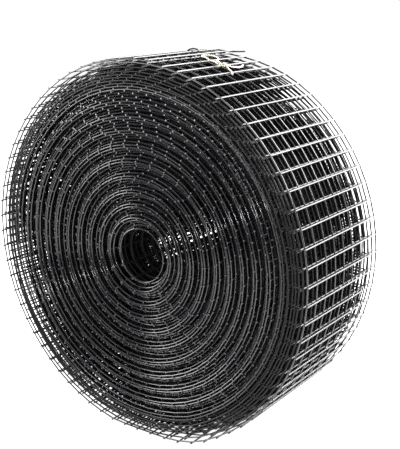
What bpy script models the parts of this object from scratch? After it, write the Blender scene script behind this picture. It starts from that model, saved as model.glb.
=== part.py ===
"""Roll of black coated welded wire mesh, the kind fitted as a skirt round solar panels.

Metres, +Z up. The roll lies on its side: its axis runs along Y and its front end face looks to -Y.
The origin is at the middle of the underside, on the surface that the roll rests on.
Angles are in degrees, from +X towards +Z, seen from the front.
"""

import math

import bmesh
import bpy
from mathutils import Vector

# The net: welded cells across the strip, one coated wire's thickness, crossbar ends past the edge
CELL = 0.0127
CELLS_ACROSS = 8
WIRE = 0.0012
STUB = 0.001

# The winding
BARS_PER_TURN = 70
TURN_PITCH = 0.002086
LAP_RADIUS = 0.1420
CORE_RADIUS = 0.0195
CORE_SHIFT_X = 0.0027
CORE_SHIFT_Z = 0.0015
OUTER_END_ANGLE = 78.8
END_LIFT = 0.002
END_LIFT_CELLS = 2.5

# The telescoped turns: whole turns slid back along the axis in rings, ridges between the valleys
RIDGE_RECESS = 0.0021
VALLEY_RECESS = 0.0080
RIM_RECESS = 0.0025
OUTER_RIDGE_RADIUS = 0.1354
VALLEY_RADII = (0.1302, 0.1197, 0.1090, 0.0987, 0.0883, 0.0770, 0.0657, 0.0541, 0.0435, 0.0339, 0.0239)
RIM_CHAMFER = 0.0003

# The raised net of the outer lap: every crossbar, and every second line wire, as steep ribs
ROWS_RAISED = 4
RIB_HALF_WIDTH = 0.0009
RIB_HEIGHT = 0.0022

# The flat spot, plain where it touches, and the roll's axis over the middle of the underside
FLAT_DEPTH = 0.1412
UNDERSIDE_ANGLE = -90.0
PLAIN_HALF_ANGLE = 13.5
AXIS_X = -0.0002
AXIS_Y = -(RIDGE_RECESS + VALLEY_RECESS) / 2
FADE_START_RADIUS = 0.100

# How far the outer laps stand out of round, eased in from FADE_START_RADIUS outwards
LUMPS = (
    # angle, stand_out
    (-280.0, -0.0002),
    (-270.0, -0.00015),
    (-250.0, -0.0004),
    (-220.0, -0.0010),
    (-180.0, -0.0009),
    (-120.0, -0.0009),
    (-95.0, -0.0008),
    (-80.0, 0.0003),
    (-69.0, 0.0019),
    (-55.0, 0.0006),
    (-30.0, 0.0005),
    (0.0, 0.0006),
    (30.0, 0.0008),
    (60.0, 0.0008),
    (80.0, -0.0002),
)

# The tie wire, its two strands twisted once round each other
TIE_WIRE = 0.0011
TIE_STEP = 0.0024
TWIST_RADIUS = 0.0009
TWIST_TURNS = 1.0
TWIST_POINTS = 9
TWIST_LOOP_END = (74.6, -0.0036, 0.1450)
TWIST_TAIL_END = (71.9, 0.0008, 0.1447)

TIE_REAR_TAIL = (
    # angle, along_axis, radius
    (70.8, 0.0270, 0.1439),
    (70.3, 0.0194, 0.1439),
    (70.3, 0.0126, 0.1440),
    (70.8, 0.0079, 0.1441),
    (71.3, 0.0044, 0.1444),
)
TIE_LOOP = (
    # angle, along_axis, radius
    (75.3, 0.0004, 0.1455),
    (76.4, 0.0040, 0.1457),
    (77.8, 0.0061, 0.1459),
    (79.4, 0.0062, 0.1459),
    (81.0, 0.0048, 0.1457),
    (82.2, 0.0026, 0.1453),
    (82.4, 0.0002, 0.1449),
    (81.6, -0.0019, 0.1450),
    (80.3, -0.0030, 0.1454),
    (78.9, -0.0038, 0.1456),
    (77.5, -0.0048, 0.1455),
    (76.2, -0.0055, 0.1453),
)
TIE_FRONT_TAIL = (
    # angle, along_axis, radius
    (70.9, -0.0014, 0.1443),
    (70.0, -0.0031, 0.1440),
    (68.7, -0.0056, 0.14395),
    (67.5, -0.0079, 0.1439),
    (66.6, -0.0094, 0.1439),
)

MERGE_DISTANCE = 0.000001
CUT_DISTANCE = 0.00001
SHARP_ANGLE = 25.0

MESH_COLOUR = (0.016, 0.016, 0.018, 1.0)
TIE_COLOUR = (0.78, 0.74, 0.64, 1.0)

HALF_WIDTH = CELL * CELLS_ACROSS / 2 + STUB
SECTION_STEP = 360.0 / BARS_PER_TURN


def clear_scene():
    for item in list(bpy.data.objects):
        bpy.data.objects.remove(item)


def make_collection(name):
    collection = bpy.data.collections.new(name)
    bpy.context.scene.collection.children.link(collection)
    return collection


def make_material(name, colour, roughness, metallic):
    material = bpy.data.materials.new(name)
    material.use_nodes = True
    shader = material.node_tree.nodes["Principled BSDF"]
    shader.inputs["Base Color"].default_value = colour
    shader.inputs["Roughness"].default_value = roughness
    shader.inputs["Metallic"].default_value = metallic
    return material


def smooth_step(value):
    value = min(max(value, 0.0), 1.0)
    return value * value * (3.0 - 2.0 * value)


def stand_out(angle):
    """How far the outermost lap stands out of round at an angle."""
    turned = (angle - LUMPS[-1][0]) % 360.0 + LUMPS[-1][0] - 360.0
    for (low_angle, low), (high_angle, high) in zip(LUMPS, LUMPS[1:]):
        if low_angle <= turned <= high_angle:
            share = smooth_step((turned - low_angle) / (high_angle - low_angle))
            return low + (high - low) * share
    return LUMPS[-1][1]


def place(angle, radius, along_axis):
    """A point of the winding: out of round near the rim, off centre near the core."""
    turn = math.radians(angle)
    ease = smooth_step((radius - FADE_START_RADIUS) / (LAP_RADIUS - FADE_START_RADIUS))
    inward = max(0.0, (FADE_START_RADIUS - radius) / (FADE_START_RADIUS - CORE_RADIUS))
    full_radius = radius + ease * stand_out(angle)
    return Vector((
        AXIS_X + CORE_SHIFT_X * inward + full_radius * math.cos(turn),
        AXIS_Y + along_axis,
        FLAT_DEPTH + CORE_SHIFT_Z * inward + full_radius * math.sin(turn),
    ))


def face_rings():
    """Radius and recess of the ridges and valleys of an end face, from the core out to the rim."""
    rings = [(OUTER_RIDGE_RADIUS, RIDGE_RECESS)]
    for valley, next_valley in zip(VALLEY_RADII, VALLEY_RADII[1:]):
        rings.append((valley, VALLEY_RECESS))
        rings.append(((valley + next_valley) / 2, RIDGE_RECESS))
    rings.append((VALLEY_RADII[-1], VALLEY_RECESS))
    rings.append((CORE_RADIUS, RIDGE_RECESS))
    return rings[::-1]


def section_points(index):
    """One section of the winding: up the front face, over the rim and down the back face."""
    angle = OUTER_END_ANGLE + SECTION_STEP * index
    share_of_lap = 1.0 - index / BARS_PER_TURN
    rim_radius = LAP_RADIUS + WIRE / 2 + TURN_PITCH * share_of_lap
    base_radius = LAP_RADIUS + WIRE / 2 - RIM_CHAMFER
    chamfer = RIM_CHAMFER * (1.0 - share_of_lap)
    lifted = smooth_step(1.0 - index / END_LIFT_CELLS)

    rings = face_rings() + [(base_radius, RIM_RECESS)]
    front = [place(angle, radius, recess - HALF_WIDTH) for radius, recess in rings]
    back = [place(angle, radius, recess + HALF_WIDTH) for radius, recess in rings]

    rim = []
    width = 2.0 * (HALF_WIDTH - chamfer)
    for row in range(ROWS_RAISED + 1):
        across = row / ROWS_RAISED
        lift = END_LIFT * lifted * smooth_step(2.0 * across - 1.0)
        along_axis = RIM_RECESS + width * (across - 0.5)
        rim.append(place(angle, rim_radius + lift, along_axis))
    return front + rim + back[::-1]


def carry_section(bm, verts, edges, index):
    """Extrude the section's loop of edges and set the new loop at its place in the turn."""
    swept = bmesh.ops.extrude_edge_only(bm, edges=edges)["geom"]
    new_verts = {item for item in swept if isinstance(item, bmesh.types.BMVert)}
    points = section_points(index)
    carried = []
    for vert, point in zip(verts, points):
        partner = next(
            edge.other_vert(vert) for edge in vert.link_edges if edge.other_vert(vert) in new_verts
        )
        partner.co = point
        carried.append(partner)
    return carried


def loop_edges(bm, verts):
    return [bm.edges.get(pair) for pair in zip(verts, verts[1:] + verts[:1])]


def wind_solid(bm):
    """Carry the section round one turn; the outer lap ends in a step at the seam."""
    verts = [bm.verts.new(point) for point in section_points(0)]
    edges = [bm.edges.new(pair) for pair in zip(verts, verts[1:] + verts[:1])]
    rim_start = len(face_rings()) + 1
    net_faces = []
    for index in range(1, BARS_PER_TURN + 1):
        verts = carry_section(bm, verts, edges, index)
        edges = loop_edges(bm, verts)
        middle = OUTER_END_ANGLE + SECTION_STEP * (index - 0.5)
        off_underside = abs((middle - UNDERSIDE_ANGLE + 180.0) % 360.0 - 180.0)
        if off_underside > PLAIN_HALF_ANGLE:
            for edge in edges[rim_start:rim_start + ROWS_RAISED]:
                net_faces.append(edge.link_faces[0])
    return net_faces


def build_wound_mesh(collection, material):
    bm = bmesh.new()
    net_faces = wind_solid(bm)
    bmesh.ops.remove_doubles(bm, verts=bm.verts, dist=MERGE_DISTANCE)
    seam = [edge for edge in bm.edges if edge.is_boundary]
    bmesh.ops.holes_fill(bm, edges=seam)
    bmesh.ops.recalc_face_normals(bm, faces=bm.faces)
    bmesh.ops.inset_individual(bm, faces=net_faces, thickness=RIB_HALF_WIDTH, depth=-RIB_HEIGHT)

    cut = bmesh.ops.bisect_plane(
        bm,
        geom=list(bm.verts) + list(bm.edges) + list(bm.faces),
        dist=CUT_DISTANCE,
        plane_co=(0.0, 0.0, 0.0),
        plane_no=(0.0, 0.0, -1.0),
        clear_outer=True,
    )
    rim_of_cut = [item for item in cut["geom_cut"] if isinstance(item, bmesh.types.BMEdge)]
    bmesh.ops.holes_fill(bm, edges=rim_of_cut)
    bmesh.ops.recalc_face_normals(bm, faces=bm.faces)

    mesh = bpy.data.meshes.new("wound_mesh")
    bm.to_mesh(mesh)
    bm.free()
    mesh.shade_smooth()
    mesh.set_sharp_from_angle(angle=math.radians(SHARP_ANGLE))
    mesh.materials.append(material)
    item = bpy.data.objects.new("wound_mesh", mesh)
    collection.objects.link(item)
    return item


def over_roll(row):
    angle, along_axis, radius = row
    turn = math.radians(angle)
    return Vector((
        AXIS_X + radius * math.cos(turn),
        AXIS_Y + along_axis,
        FLAT_DEPTH + radius * math.sin(turn),
    ))


def twist_strand(side):
    """One strand of the twist, from the loop's end to the tails' end; side is 1 or -1."""
    start = over_roll(TWIST_LOOP_END)
    end = over_roll(TWIST_TAIL_END)
    axis = (end - start).normalized()
    across = Vector((0.0, 0.0, 1.0)).cross(axis).normalized()
    upward = axis.cross(across)
    points = []
    for step in range(TWIST_POINTS):
        share = step / (TWIST_POINTS - 1)
        turn = 2.0 * math.pi * TWIST_TURNS * share
        offset = across * math.cos(turn) + upward * math.sin(turn)
        points.append(start.lerp(end, share) + offset * TWIST_RADIUS * side)
    return points


def headings(points):
    """The direction of a smooth curve at each of its points, the nearer neighbour counting more."""
    result = []
    for before, here, after in zip([None] + points, points, points[1:] + [None]):
        if before is None:
            result.append((after - here).normalized())
        elif after is None:
            result.append((here - before).normalized())
        else:
            arriving = here - before
            leaving = after - here
            weighed = leaving.normalized() * arriving.length + arriving.normalized() * leaving.length
            result.append(weighed / (arriving.length + leaving.length))
    return result


def smooth_route(points, step):
    """Points about one step apart on a smooth curve through the given points."""
    route = []
    heads = headings(points)
    for start, end, leaving, arriving in zip(points, points[1:], heads, heads[1:]):
        span = (end - start).length
        parts = max(1, round(span / step))
        for part in range(parts):
            t = part / parts
            along = start.lerp(end, 3 * t ** 2 - 2 * t ** 3)
            bowed = leaving * (t ** 3 - 2 * t ** 2 + t) + arriving * (t ** 3 - t ** 2)
            route.append(along + bowed * span)
    route.append(points[-1])
    return route


def build_wire_tie(collection, material):
    points = [over_roll(row) for row in TIE_REAR_TAIL]
    points += twist_strand(1)[::-1]
    points += [over_roll(row) for row in TIE_LOOP]
    points += twist_strand(-1)
    points += [over_roll(row) for row in TIE_FRONT_TAIL]
    route = smooth_route(points, TIE_STEP)

    curve = bpy.data.curves.new("wire_tie", "CURVE")
    curve.dimensions = "3D"
    curve.bevel_depth = TIE_WIRE / 2
    curve.bevel_resolution = 2
    curve.use_fill_caps = True
    spline = curve.splines.new("POLY")
    spline.points.add(len(route) - 1)
    for point, place_on_route in zip(spline.points, route):
        point.co = (*place_on_route, 1.0)
    curve.materials.append(material)
    item = bpy.data.objects.new("wire_tie", curve)
    collection.objects.link(item)
    return item


def main():
    clear_scene()
    collection = make_collection("bird_mesh_roll")
    coated_wire = make_material("black_coated_wire", MESH_COLOUR, 0.35, 0.0)
    tie_wire = make_material("pale_tie_wire", TIE_COLOUR, 0.5, 0.0)
    build_wound_mesh(collection, coated_wire)
    build_wire_tie(collection, tie_wire)


main()
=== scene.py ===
import math

import bmesh
import bpy
from mathutils import Matrix, Vector, noise


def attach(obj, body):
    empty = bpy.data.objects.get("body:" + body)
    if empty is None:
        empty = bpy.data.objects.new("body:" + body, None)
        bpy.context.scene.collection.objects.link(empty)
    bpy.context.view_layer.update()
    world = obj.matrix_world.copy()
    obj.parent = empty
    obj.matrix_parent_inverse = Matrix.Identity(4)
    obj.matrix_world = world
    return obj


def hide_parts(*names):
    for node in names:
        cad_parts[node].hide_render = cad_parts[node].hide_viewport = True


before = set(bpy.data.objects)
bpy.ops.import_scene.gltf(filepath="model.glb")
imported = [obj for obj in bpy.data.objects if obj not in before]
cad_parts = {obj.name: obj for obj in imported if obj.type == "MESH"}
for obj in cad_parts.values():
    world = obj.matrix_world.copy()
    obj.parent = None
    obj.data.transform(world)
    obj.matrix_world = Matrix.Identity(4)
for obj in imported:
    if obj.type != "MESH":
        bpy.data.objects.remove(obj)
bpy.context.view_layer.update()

print("frame loaded, nodes:", ", ".join(sorted(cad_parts)))

# The roll lies on its side: axis along Y, front end face towards -Y, resting on z = 0.
# Lengths are in metres; angles in degrees from +X towards +Z, seen from the front.
roll = {
    "axisX": -0.0002,
    "axisY": -0.00505,
    "axisZ": 0.1412,        # the flat spot lies this far under the axis
    "lapRadius": 0.1420,    # crossbar centres one turn in from the outer end
    "turnPitch": 0.002086,
    "looseGap": 0.0011,     # each of the two outer laps stands this much further off the next
    "looseUntil": (1.0, 2.0),    # turns in, where these laps start to close in
    "looseTurns": 0.15,     # and the part of a turn that this takes
    "looseStretch": 0.0185,    # the second lap's cells are pulled longer by this share
    "stretchFrom": 1.0,     # from here
    "stretchEnd": 1.6,      # to this many turns in
    "innerRadius": 0.0205,
    "endAngle": 83.93,
    "fadeStart": 0.100,     # the laps inside this radius are round
    "coreShiftX": 0.0027,
    "coreShiftZ": 0.0015,
    "flatStack": 0.8,       # how much of its pitch a lap keeps over the flat spot
    "flatTurn": 0.53,       # the outer lap comes to the flat spot this many turns in
    "flatFrom": 0.9,        # the laps may be pressed flat where the sine of their way down is over this
    "flatMargin": 0.0001,
}

net = {
    "cell": 0.0127,
    "cellAlong": 0.012785,  # measured along the strip, a little pulled by the winding
    "lines": 9,
    "wire": 0.0012,
    "weld": 0.00088,        # line wire centre to crossbar centre
    "stub": 0.001,          # crossbar end past the edge wire
    "barSides": 8,
    "mergeWithin": 0.000001,
    "sharpFrom": 60.0,      # degrees: the cut ends of the wires stay sharp
}

# How far a net that was wound by hand strays, and how fast that changes: from a degree to the next
# and a turn to the next, or from a crossbar to the next and a side to the other
strays = {
    "slide": {"most": 0.0007, "steps": (0.025, 0.7), "seed": 9.1},
    "swell": {"most": 0.00024, "steps": (0.04, 0.6), "seed": 3.7},
    "skew": {"most": 0.0005, "steps": (0.37, 0.0), "seed": 5.3},
    "stub": {"most": 0.0006, "steps": (1.7, 3.1), "seed": 1.9},
}

looseEnd = {
    "lift": 0.0003,         # the last cells spring up a little
    "liftAngle": 12.0,      # and start to rise this far before the end
    "past": 0.0118,         # the back edge wire runs on this far past the last crossbar
    "pastRise": 0.0019,
    "shortPast": 0.0022,    # the other line wires end just past it
    "stubStep": 0.0008,     # the bent stub's wire has a point this often
}

# How far the outer laps stand out of round, from lump to lump
lapShape = (
    # angle, how far out
    (-280.0, -0.0002),
    (-270.0, -0.00015),
    (-250.0, -0.0001),
    (-220.0, -0.0004),
    (-180.0, -0.0002),
    (-120.0, -0.0002),
    (-95.0, -0.0006),
    (-80.0, 0.0003),
    (-69.0, 0.0019),
    (-55.0, 0.0006),
    (-30.0, 0.0005),
    (0.0, 0.0006),
    (30.0, 0.0008),
    (60.0, 0.0008),
    (80.0, -0.0002),
)

# The turns slide along the axis in waves, with valleys as seen from the front at these radii
slide = {
    "ridge": 0.0021,        # how far back the foremost turns of a wave lie
    "depth": 0.0059,        # from there to the deepest ones
    "narrow": 0.30,         # valleys narrower than ridges
    "valleys": (0.1406, 0.1302, 0.1197, 0.1090, 0.0987, 0.0883,
                0.0770, 0.0657, 0.0541, 0.0435, 0.0339, 0.0239, 0.0134),
}

# The loose laps near the rim slide each by its own amount, before the even waves start
outerSlides = (
    # turns in, slide
    (0.39, 0.0021),
    (0.87, 0.0032),
    (1.39, 0.0024),
    (1.87, 0.0030),
    (2.39, 0.0028),
    (2.87, 0.0032),
    (3.39, 0.0019),
    (3.87, 0.0025),
    (4.39, 0.0016),
    (4.87, 0.0023),
    (5.39, 0.0013),
    (5.87, 0.0007),
    (6.39, 0.0029),
    (6.87, 0.0033),
    (7.39, 0.0017),
    (7.87, 0.0022),
)

# Pieces of the winding, from the rim inwards: the line wires' sides and their points in a cell are
# chosen for the bend of the turns, so that no piece gets too many faces
zones = (
    {"name": "outer_turns", "outer": 0.2000, "inner": 0.1220, "sides": 8, "points": 1},
    {"name": "middle_turns", "outer": 0.1220, "inner": 0.0900, "sides": 6, "points": 1},
    {"name": "inner_turns", "outer": 0.0900, "inner": 0.0550, "sides": 6, "points": 2},
    {"name": "core_turns", "outer": 0.0550, "inner": 0.0000, "sides": 6, "points": 4},
)


def smoothStep(value):
    value = min(max(value, 0.0), 1.0)
    return value * value * (3.0 - 2.0 * value)


def easeAlong(rows, place):    # eased from one row's value to the next
    if place <= rows[0][0]:
        return rows[0][1]
    for (low, first), (high, second) in zip(rows, rows[1:]):
        if place <= high:
            return first + (second - first) * smoothStep((place - low) / (high - low))
    return rows[-1][1]


def standOut(angle):
    top = lapShape[-1][0]
    return easeAlong(lapShape, (angle - top) % 360.0 + top - 360.0)


def slideAt(radius, turnsIn):
    lastTurn, lastSlide = outerSlides[-1]
    if turnsIn <= lastTurn:
        return easeAlong(outerSlides, turnsIn)
    valleys = slide["valleys"]
    phase = (valleys[0] - radius) / (valleys[0] - valleys[1])
    for count, (outer, inner) in enumerate(zip(valleys, valleys[1:])):
        if inner <= radius <= outer:
            phase = count + (outer - radius) / (outer - inner)
    phase += slide["narrow"] * math.sin(2.0 * math.pi * phase) / (2.0 * math.pi)
    wave = slide["ridge"] + slide["depth"] * (1.0 + math.cos(2.0 * math.pi * phase)) / 2.0
    return wave + (lastSlide - wave) * smoothStep(lastTurn + 1.0 - turnsIn)    # blended over a turn


def barRadius(turnsIn):    # of an even, round winding
    closed = sum(smoothStep((turnsIn - start) / roll["looseTurns"]) for start in roll["looseUntil"])
    return roll["lapRadius"] + roll["turnPitch"] * (1.0 - turnsIn) - roll["looseGap"] * closed


def strayOf(kind, first, second=0.0):    # smooth noise, the same on every run
    way = strays[kind]
    firstStep, secondStep = way["steps"]
    return way["most"] * noise.noise(Vector((first * firstStep, second * secondStep, way["seed"])))


def lapRadius(angle, turnsIn):    # of the crossbar centres, lumps and the flat spot included
    radius = barRadius(turnsIn)
    ease = smoothStep((radius - roll["fadeStart"]) / (roll["lapRadius"] - roll["fadeStart"]))
    radius += ease * standOut(angle)
    radius += strayOf("swell", angle, turnsIn)
    fromEnd = (angle - roll["endAngle"]) / looseEnd["liftAngle"]
    radius += looseEnd["lift"] * smoothStep(1.0 - fromEnd)
    down = -math.sin(math.radians(angle))
    if down > roll["flatFrom"]:
        lapsUnder = (turnsIn - roll["flatTurn"]) * roll["turnPitch"] * roll["flatStack"]
        room = roll["axisZ"] - net["wire"] / 2 - roll["flatMargin"] - lapsUnder
        radius = min(radius, room / down)
    return radius


def woundPoint(angle, along, radius):    # the turns near the core lie off the outer laps' axis
    inward = max(0.0, (roll["fadeStart"] - radius) / (roll["fadeStart"] - roll["innerRadius"]))
    turn = math.radians(angle)
    return Vector((
        roll["axisX"] + roll["coreShiftX"] * inward + radius * math.cos(turn),
        roll["axisY"] + along,
        roll["axisZ"] + roll["coreShiftZ"] * inward + radius * math.sin(turn),
    ))


def windStations():    # every crossbar of the strip, from the outer end in
    stations = []
    angle = roll["endAngle"]
    while True:
        turnsIn = (angle - roll["endAngle"]) / 360.0
        radius = lapRadius(angle, turnsIn)
        if barRadius(turnsIn) < roll["innerRadius"]:
            return stations
        stations.append({
            "angle": angle,
            "radius": radius,
            "turnsIn": turnsIn,
            "slide": slideAt(barRadius(turnsIn), turnsIn) + strayOf("slide", angle, turnsIn),
        })
        cellAngle = 2.0 * math.degrees(math.asin(net["cellAlong"] / 2 / (radius - net["weld"])))
        if roll["stretchFrom"] < turnsIn < roll["stretchEnd"]:
            cellAngle *= 1.0 + roll["looseStretch"]
        angle += cellAngle


def linePoint(stations, index, share, line):    # share of the way from one crossbar to the next
    here = stations[index]
    there = stations[min(index + 1, len(stations) - 1)]
    angle = here["angle"] + (there["angle"] - here["angle"]) * share
    radius = here["radius"] + (there["radius"] - here["radius"]) * share - net["weld"]
    shift = here["slide"] + (there["slide"] - here["slide"]) * share
    along = (line - (net["lines"] - 1) / 2) * net["cell"]
    return woundPoint(angle, shift + along, radius)


def headings(points):    # which way a smooth wire runs at each point
    result = []
    for before, here, after in zip([None] + points, points, points[1:] + [None]):
        if before is None:
            result.append((after - here).normalized())
        elif after is None:
            result.append((here - before).normalized())
        else:
            arriving = here - before
            leaving = after - here
            weighed = leaving.normalized() * arriving.length + arriving.normalized() * leaving.length
            result.append(weighed / (arriving.length + leaving.length))
    return result


def smoothRoute(points, step):    # a smooth curve through the points
    route = []
    heads = headings(points)
    for start, end, leaving, arriving in zip(points, points[1:], heads, heads[1:]):
        span = (end - start).length
        parts = max(1, round(span / step))
        for part in range(parts):
            t = part / parts
            along = start.lerp(end, 3 * t ** 2 - 2 * t ** 3)
            bowed = leaving * (t ** 3 - 2 * t ** 2 + t) + arriving * (t ** 3 - t ** 2)
            route.append(along + bowed * span)
    route.append(points[-1])
    return route


def addWires(bm, routes, thickness, sides):    # round wires along the routes
    curve = bpy.data.curves.new("wire_routes", "CURVE")
    curve.dimensions = "3D"
    curve.bevel_depth = thickness / 2
    curve.bevel_resolution = (sides - 4) // 2
    curve.use_fill_caps = True
    for route in routes:
        spline = curve.splines.new("POLY")
        spline.points.add(len(route) - 1)
        for point, place in zip(spline.points, route):
            point.co = (*place, 1.0)
    holder = bpy.data.objects.new("wire_routes", curve)
    bpy.context.scene.collection.objects.link(holder)
    graph = bpy.context.evaluated_depsgraph_get()
    wires = bpy.data.meshes.new_from_object(holder.evaluated_get(graph))
    bm.from_mesh(wires)
    bpy.data.meshes.remove(wires)
    bpy.data.objects.remove(holder)
    bpy.data.curves.remove(curve)


def barEnds(station, index):    # front and back end of a crossbar
    reach = (net["lines"] - 1) / 2 * net["cell"] + net["stub"]
    skew = strayOf("skew", index)
    ends = []
    for side in (-1.0, 1.0):
        stub = strayOf("stub", index, side)
        tilt = math.degrees(skew * side / station["radius"])
        along = station["slide"] + side * (reach + stub)
        ends.append(woundPoint(station["angle"] + tilt, along, station["radius"]))
    return ends


def addBar(bm, ends):    # a straight wire
    low, high = ends
    turn = Vector((0.0, 0.0, 1.0)).rotation_difference(high - low).to_matrix().to_4x4()
    place = Matrix.Translation((low + high) / 2) @ turn
    bmesh.ops.create_cone(
        bm, cap_ends=True, segments=net["barSides"], radius1=net["wire"] / 2, radius2=net["wire"] / 2,
        depth=(high - low).length, matrix=place,
    )


def finishPiece(bm, name, material, nodes):
    bmesh.ops.remove_doubles(bm, verts=bm.verts, dist=net["mergeWithin"])
    mesh = bpy.data.meshes.new(name)
    bm.to_mesh(mesh)
    bm.free()
    mesh.shade_smooth()
    mesh.set_sharp_from_angle(angle=math.radians(net["sharpFrom"]))
    mesh.materials.append(material)
    print(name, "faces", len(mesh.polygons))
    piece = bpy.data.objects.new(name, mesh)
    bpy.context.scene.collection.objects.link(piece)
    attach(piece, "root")
    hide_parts(*nodes)


def makeTurns(stations, zone, material):    # the welded net of the turns between two radii
    radii = [barRadius(station["turnsIn"]) for station in stations]
    first = next(index for index, radius in enumerate(radii) if radius < zone["outer"])
    last = max(index for index, radius in enumerate(radii) if radius >= zone["inner"])
    joins = min(last + 1, len(stations) - 1)    # the line wires run on to the next piece's first bar
    bm = bmesh.new()
    for index in range(first, last + 1):
        addBar(bm, barEnds(stations[index], index))
    routes = []
    for line in range(net["lines"]):
        route = []
        for index in range(first, joins):
            for part in range(zone["points"]):
                route.append(linePoint(stations, index, part / zone["points"], line))
        route.append(linePoint(stations, joins, 0.0, line))
        routes.append(route)
    addWires(bm, routes, net["wire"], zone["sides"])
    finishPiece(bm, zone["name"], material, ["wound_mesh"])


# A wire end bent up over the outer lap
bentStub = (
    # angle, along the axis, radius
    (91.2, 0.0185, 0.1440),
    (90.6, 0.0192, 0.1452),
    (89.6, 0.0198, 0.1460),
    (88.6, 0.0201, 0.1461),
    (87.7, 0.0203, 0.1454),
    (87.3, 0.0204, 0.1443),
)


def makeEndWires(stations, material):    # cut wire ends at the outer end of the strip
    end = stations[0]
    turn = math.radians(end["angle"])
    tangent = Vector((math.sin(turn), 0.0, -math.cos(turn)))
    outward = Vector((math.cos(turn), 0.0, math.sin(turn)))
    bm = bmesh.new()
    for line in range(net["lines"]):
        start = linePoint(stations, 0, 0.0, line)
        reach = looseEnd["past"] if line == net["lines"] - 1 else looseEnd["shortPast"]
        rise = looseEnd["pastRise"] * reach / looseEnd["past"]
        addBar(bm, (start, start + tangent * reach + outward * rise))
    bent = smoothRoute([woundPoint(*row) for row in bentStub], looseEnd["stubStep"])
    addWires(bm, [bent], net["wire"], net["barSides"])
    finishPiece(bm, "outer_end_wires", material, ["wound_mesh"])


class Value:    # a socket that can be added, multiplied and so on
    def __init__(self, maker, socket):
        self.maker = maker
        self.socket = socket

    def maths(self, operation, first, second):
        return self.maker.node("ShaderNodeMath", {"operation": operation}, {0: first, 1: second})

    def __add__(self, other):
        return self.maths("ADD", self, other)

    def __radd__(self, other):
        return self.maths("ADD", other, self)

    def __sub__(self, other):
        return self.maths("SUBTRACT", self, other)

    def __rsub__(self, other):
        return self.maths("SUBTRACT", other, self)

    def __mul__(self, other):
        return self.maths("MULTIPLY", self, other)

    def __rmul__(self, other):
        return self.maths("MULTIPLY", other, self)

    def power(self, exponent):
        return self.maths("POWER", self, exponent)

    def larger(self, other):
        return self.maths("MAXIMUM", self, other)


class Finish:    # a material under way, whose shader is filled last
    def __init__(self, name):
        self.material = bpy.data.materials.new(name)
        self.material.use_nodes = True
        self.tree = self.material.node_tree
        self.shader = self.tree.nodes["Principled BSDF"]

    def node(self, kind, settings=None, inputs=None, output=0):
        made = self.tree.nodes.new(kind)
        for key, value in (settings or {}).items():
            setattr(made, key, value)
        for key, value in (inputs or {}).items():
            self.feed(made.inputs[key], value)
        return Value(self, made.outputs[output])

    def feed(self, socket, value):
        if isinstance(value, Value):
            self.tree.links.new(value.socket, socket)
        else:
            socket.default_value = value

    def fill(self, **sockets):
        for name, value in sockets.items():
            self.feed(self.shader.inputs[name.replace("_", " ")], value)
        return self.material


def mixColours(finish, share, first, second):    # the Mix node's colours are its inputs 6 and 7
    inputs = {"Factor": share, 6: first, 7: second}
    return finish.node("ShaderNodeMix", {"data_type": "RGBA"}, inputs, output=2)


noiseDetail = {
    "blotches": 3.0,
    "grain": 2.0,
}


def startFinish(name, look):    # blotches, fine grain, and the bump that the grain makes
    finish = Finish(name)
    place = finish.node("ShaderNodeTexCoord", output="Object")
    blotches = finish.node("ShaderNodeTexNoise", {}, {
        "Vector": place, "Scale": look["blotchScale"], "Detail": noiseDetail["blotches"]})
    grain = finish.node("ShaderNodeTexNoise", {}, {
        "Vector": place, "Scale": look["grainScale"], "Detail": noiseDetail["grain"]})
    bump = finish.node("ShaderNodeBump", {}, {
        "Strength": look["bump"], "Distance": look["bumpDepth"], "Height": grain})
    return finish, place, blotches, grain, bump


coating = {
    "black": (0.011, 0.0105, 0.0115, 1.0),
    "worn": (0.028, 0.026, 0.029, 1.0),
    "paintedShadeBlack": (0.006, 0.0057, 0.0063, 1.0),    # painted shade: the darker black that the outer laps are mixed towards
    "outerPaintedShade": 0.85,
    "blotchScale": 90.0,
    "grainScale": 1600.0,
    "bump": 0.35,
    "bumpDepth": 0.00008,
    "roughness": 0.44,
    "blotchRoughness": 0.12,
    "grainRoughness": 0.06,
    "rimDull": 0.1388,      # radii: the rim is glossy, and the turns within it are duller
    "rimGlossy": 0.1409,
    "faceDull": 0.0420,     # from the middle of the axis: the end faces are glossy too
    "faceGlossy": 0.0465,
    # painted shade also starts at these radii: the wires past them get a darker black
    "outerFrom": 0.118,     # from this radius
    "outerTo": 0.128,       # to this one, where the loose laps begin, the faces lose gloss
    "outerGloss": 0.25,
    "glossMost": 1.1,
    "glossBlotch": 0.4,
    "coatRoughness": 0.14,
    "coatIOR": 1.65,
}


def easedRange(finish, value, low, high):    # 0 below the low end, 1 above the high one
    return finish.node("ShaderNodeMapRange", {"interpolation_type": "SMOOTHSTEP"}, {
        "Value": value, "From Min": low, "From Max": high})


def wireShares(finish, place):    # how glossy each place is, and how far it lies in the outer laps
    parts = finish.node("ShaderNodeSeparateXYZ", {}, {"Vector": place}).socket.node.outputs
    across = Value(finish, parts["X"]) - roll["axisX"]
    along = Value(finish, parts["Y"]) - roll["axisY"] / 2
    upward = Value(finish, parts["Z"]) - roll["axisZ"]
    radius = (across * across + upward * upward).power(0.5)
    depth = (along * along).power(0.5)
    rim = easedRange(finish, radius, coating["rimDull"], coating["rimGlossy"])
    face = easedRange(finish, depth, coating["faceDull"], coating["faceGlossy"])
    outer = easedRange(finish, radius, coating["outerFrom"], coating["outerTo"])
    return rim.larger(face * (1 - outer * (1 - coating["outerGloss"]))), outer


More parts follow.
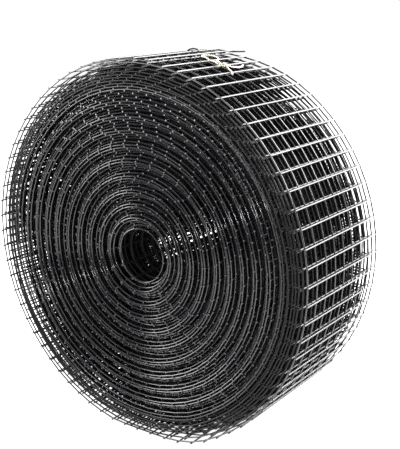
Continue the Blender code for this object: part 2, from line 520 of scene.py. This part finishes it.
def coatedWire():
    finish, place, blotches, grain, bump = startFinish("black_coated_wire", coating)
    gloss, outer = wireShares(finish, place)
    worn = mixColours(finish, blotches, coating["black"], coating["worn"])
    # painted shade: from outerFrom outwards the wires' black is mixed towards a darker one, so the outer
    # laps look darker
    colour = mixColours(finish, outer * coating["outerPaintedShade"], worn, coating["paintedShadeBlack"])
    roughness = coating["roughness"] + (blotches - 0.5) * coating["blotchRoughness"]
    roughness += (grain - 0.5) * coating["grainRoughness"]
    return finish.fill(
        Base_Color=colour, Roughness=roughness, Normal=bump, Specular_IOR_Level=0.0,
        Coat_Weight=gloss * (coating["glossMost"] - blotches * coating["glossBlotch"]),
        Coat_Roughness=coating["coatRoughness"], Coat_IOR=coating["coatIOR"])


# A soft wire that lies over the outer lap: a tail, a twist of two strands, a loop and another tail
tie = {
    "wire": 0.0011,
    "sides": 12,
    "step": 0.0012,         # the wire has a point this often
    "twistRadius": 0.0009,
    "twistTurns": 1.0,
    "twistPoints": 13,
    "loopEnd": (74.6, -0.0036, 0.1447),    # the ends of the twist: angle, along the axis, radius
    "tailEnd": (71.9, 0.0008, 0.1443),
    "colour": (0.72, 0.67, 0.56, 1.0),
    "shaded": (0.52, 0.46, 0.37, 1.0),
    "blotchScale": 260.0,
    "grainScale": 2500.0,
    "bump": 0.4,
    "bumpDepth": 0.00008,
    "roughness": 0.45,
    "grainRoughness": 0.2,
}

tieRearTail = (
    # angle, along the axis, radius
    (71.6, 0.0215, 0.1434),
    (70.9, 0.0165, 0.1434),
    (70.6, 0.0118, 0.1435),
    (70.9, 0.0076, 0.1437),
    (71.3, 0.0044, 0.1440),
)

tieLoop = (
    # angle, along the axis, radius
    (75.2, 0.0006, 0.1450),
    (75.9, 0.0044, 0.1452),
    (76.9, 0.0070, 0.1454),
    (78.4, 0.0076, 0.1455),
    (79.8, 0.0062, 0.1455),
    (80.9, 0.0042, 0.1451),
    (81.1, 0.0020, 0.1446),
    (80.4, 0.0002, 0.1446),
    (79.3, -0.0012, 0.1450),
    (78.1, -0.0026, 0.1452),
    (77.0, -0.0041, 0.1451),
    (75.9, -0.0051, 0.1450),
)

tieFrontTail = (
    # angle, along the axis, radius
    (70.8, -0.0010, 0.1439),
    (69.9, -0.0021, 0.1436),
    (68.9, -0.0034, 0.1435),
    (68.0, -0.0052, 0.1434),
    (67.3, -0.0071, 0.1434),
)


def twistStrand(side):    # one of the two strands, from the loop to the tails
    start = woundPoint(*tie["loopEnd"])
    end = woundPoint(*tie["tailEnd"])
    axis = (end - start).normalized()
    across = Vector((0.0, 0.0, 1.0)).cross(axis).normalized()
    upward = axis.cross(across)
    points = []
    for step in range(tie["twistPoints"]):
        share = step / (tie["twistPoints"] - 1)
        turn = 2.0 * math.pi * tie["twistTurns"] * share
        offset = across * math.cos(turn) + upward * math.sin(turn)
        points.append(start.lerp(end, share) + offset * tie["twistRadius"] * side)
    return points


def tieFinish():
    finish, place, blotches, grain, bump = startFinish("pale_tie_wire", tie)
    colour = mixColours(finish, blotches, tie["shaded"], tie["colour"])
    roughness = tie["roughness"] + (grain - 0.5) * tie["grainRoughness"]
    return finish.fill(Base_Color=colour, Roughness=roughness, Normal=bump)


def makeTie(material):
    points = [woundPoint(*row) for row in tieRearTail]
    points += twistStrand(1)[::-1]
    points += [woundPoint(*row) for row in tieLoop]
    points += twistStrand(-1)
    points += [woundPoint(*row) for row in tieFrontTail]
    bm = bmesh.new()
    addWires(bm, [smoothRoute(points, tie["step"])], tie["wire"], tie["sides"])
    finishPiece(bm, "tie_wire", material, ["wire_tie"])


view = {
    "place": (0.4002, -0.52805, 0.3371),
    "pitch": -15.47,
    "yaw": 35.86,
    "lens": 70.96,          # in millimetres
    "sensor": 36.0,
}


def makeCamera():
    camera = bpy.data.cameras.new("photo_view")
    camera.lens = view["lens"]
    camera.sensor_width = view["sensor"]
    holder = bpy.data.objects.new("photo_view", camera)
    holder.location = view["place"]
    holder.rotation_euler = (math.radians(90.0 + view["pitch"]), 0.0, math.radians(view["yaw"]))
    bpy.context.scene.collection.objects.link(holder)
    bpy.context.scene.camera = holder


# The crossbars shine back what stands behind the roll, the line wires what stands over it and
# beside it. Places and sizes are in metres, powers in watts.
lamps = (
    {"name": "left_softbox", "place": (-1.3, -0.35, 0.30), "width": 1.5, "height": 1.3, "power": 62.0},
    {"name": "low_softbox", "place": (-0.75, -1.15, 0.35), "width": 0.8, "height": 0.8, "power": 18.0},
    {"name": "front_lamp", "place": (0.60, -0.86, 0.435), "width": 0.08, "height": 0.08, "power": 2.0},
    {"name": "front_softbox", "place": (0.35, -1.5, 0.60), "width": 0.8, "height": 0.8, "power": 4.0},
    {"name": "top_softbox", "place": (0.0, -0.4, 1.5), "width": 0.9, "height": 0.9, "power": 4.0},
    {"name": "right_top_panel", "place": (0.65, 0.45, 0.95), "width": 0.9, "height": 0.9, "power": 62.0},
    {"name": "back_right_panel", "place": (0.80, 1.1, 0.40), "width": 0.6, "height": 0.7, "power": 15.0},
    {"name": "back_top_panel", "place": (0.30, 1.1, 0.98), "width": 0.8, "height": 0.5, "power": 8.0},
    {"name": "high_back_panel", "place": (0.0, 1.6, 1.15), "width": 2.6, "height": 1.2, "power": 48.0},
)

sky = {
    "seen": 1.0,            # what the camera sees behind the roll
    "cast": 0.06,           # what lights the roll
    "floorGlow": 0.97,      # the white floor is lit evenly from all round
    "floorGrey": 0.4,
    "floorRoughness": 0.9,
    "floorReach": 40.0,
}


def makeFloor():
    bm = bmesh.new()
    bmesh.ops.create_grid(bm, x_segments=1, y_segments=1, size=sky["floorReach"])
    mesh = bpy.data.meshes.new("floor")
    bm.to_mesh(mesh)
    bm.free()
    finish = Finish("pale_floor")
    grey = sky["floorGrey"]
    mesh.materials.append(finish.fill(
        Base_Color=(grey, grey, grey, 1.0), Roughness=sky["floorRoughness"],
        Emission_Color=(1.0, 1.0, 1.0, 1.0), Emission_Strength=sky["floorGlow"]))
    floor = bpy.data.objects.new("floor", mesh)
    bpy.context.scene.collection.objects.link(floor)


def makeLight():
    middle = Vector((0.0, 0.0, roll["axisZ"]))
    for lamp in lamps:
        light = bpy.data.lights.new(lamp["name"], "AREA")
        light.shape = "RECTANGLE"
        light.size = lamp["width"]
        light.size_y = lamp["height"]
        light.energy = lamp["power"]
        holder = bpy.data.objects.new(lamp["name"], light)
        holder.location = lamp["place"]
        holder.visible_camera = False
        holder.rotation_euler = (middle - holder.location).to_track_quat("-Z", "Y").to_euler()
        bpy.context.scene.collection.objects.link(holder)

    world = bpy.data.worlds.new("white_room")
    world.use_nodes = True
    nodes = world.node_tree.nodes
    links = world.node_tree.links
    backdrop = nodes["Background"]
    backdrop.inputs["Color"].default_value = (1.0, 1.0, 1.0, 1.0)
    path = nodes.new("ShaderNodeLightPath")
    strength = nodes.new("ShaderNodeMapRange")
    strength.inputs["To Min"].default_value = sky["cast"]
    strength.inputs["To Max"].default_value = sky["seen"]
    links.new(path.outputs["Is Camera Ray"], strength.inputs["Value"])
    links.new(strength.outputs["Result"], backdrop.inputs["Strength"])
    bpy.context.scene.world = world
    bpy.context.scene.view_settings.view_transform = "Standard"


makeCamera()
makeFloor()
makeLight()
print("camera, floor and", len(lamps), "lamps in place")

stations = windStations()
length = net["cellAlong"] * (len(stations) - 1)
print("strip", round(length, 2), "m,", len(stations), "crossbars,",
      round(stations[-1]["turnsIn"], 1), "turns")

wireFinish = coatedWire()
for zone in zones:
    makeTurns(stations, zone, wireFinish)
makeEndWires(stations, wireFinish)
makeTie(tieFinish())
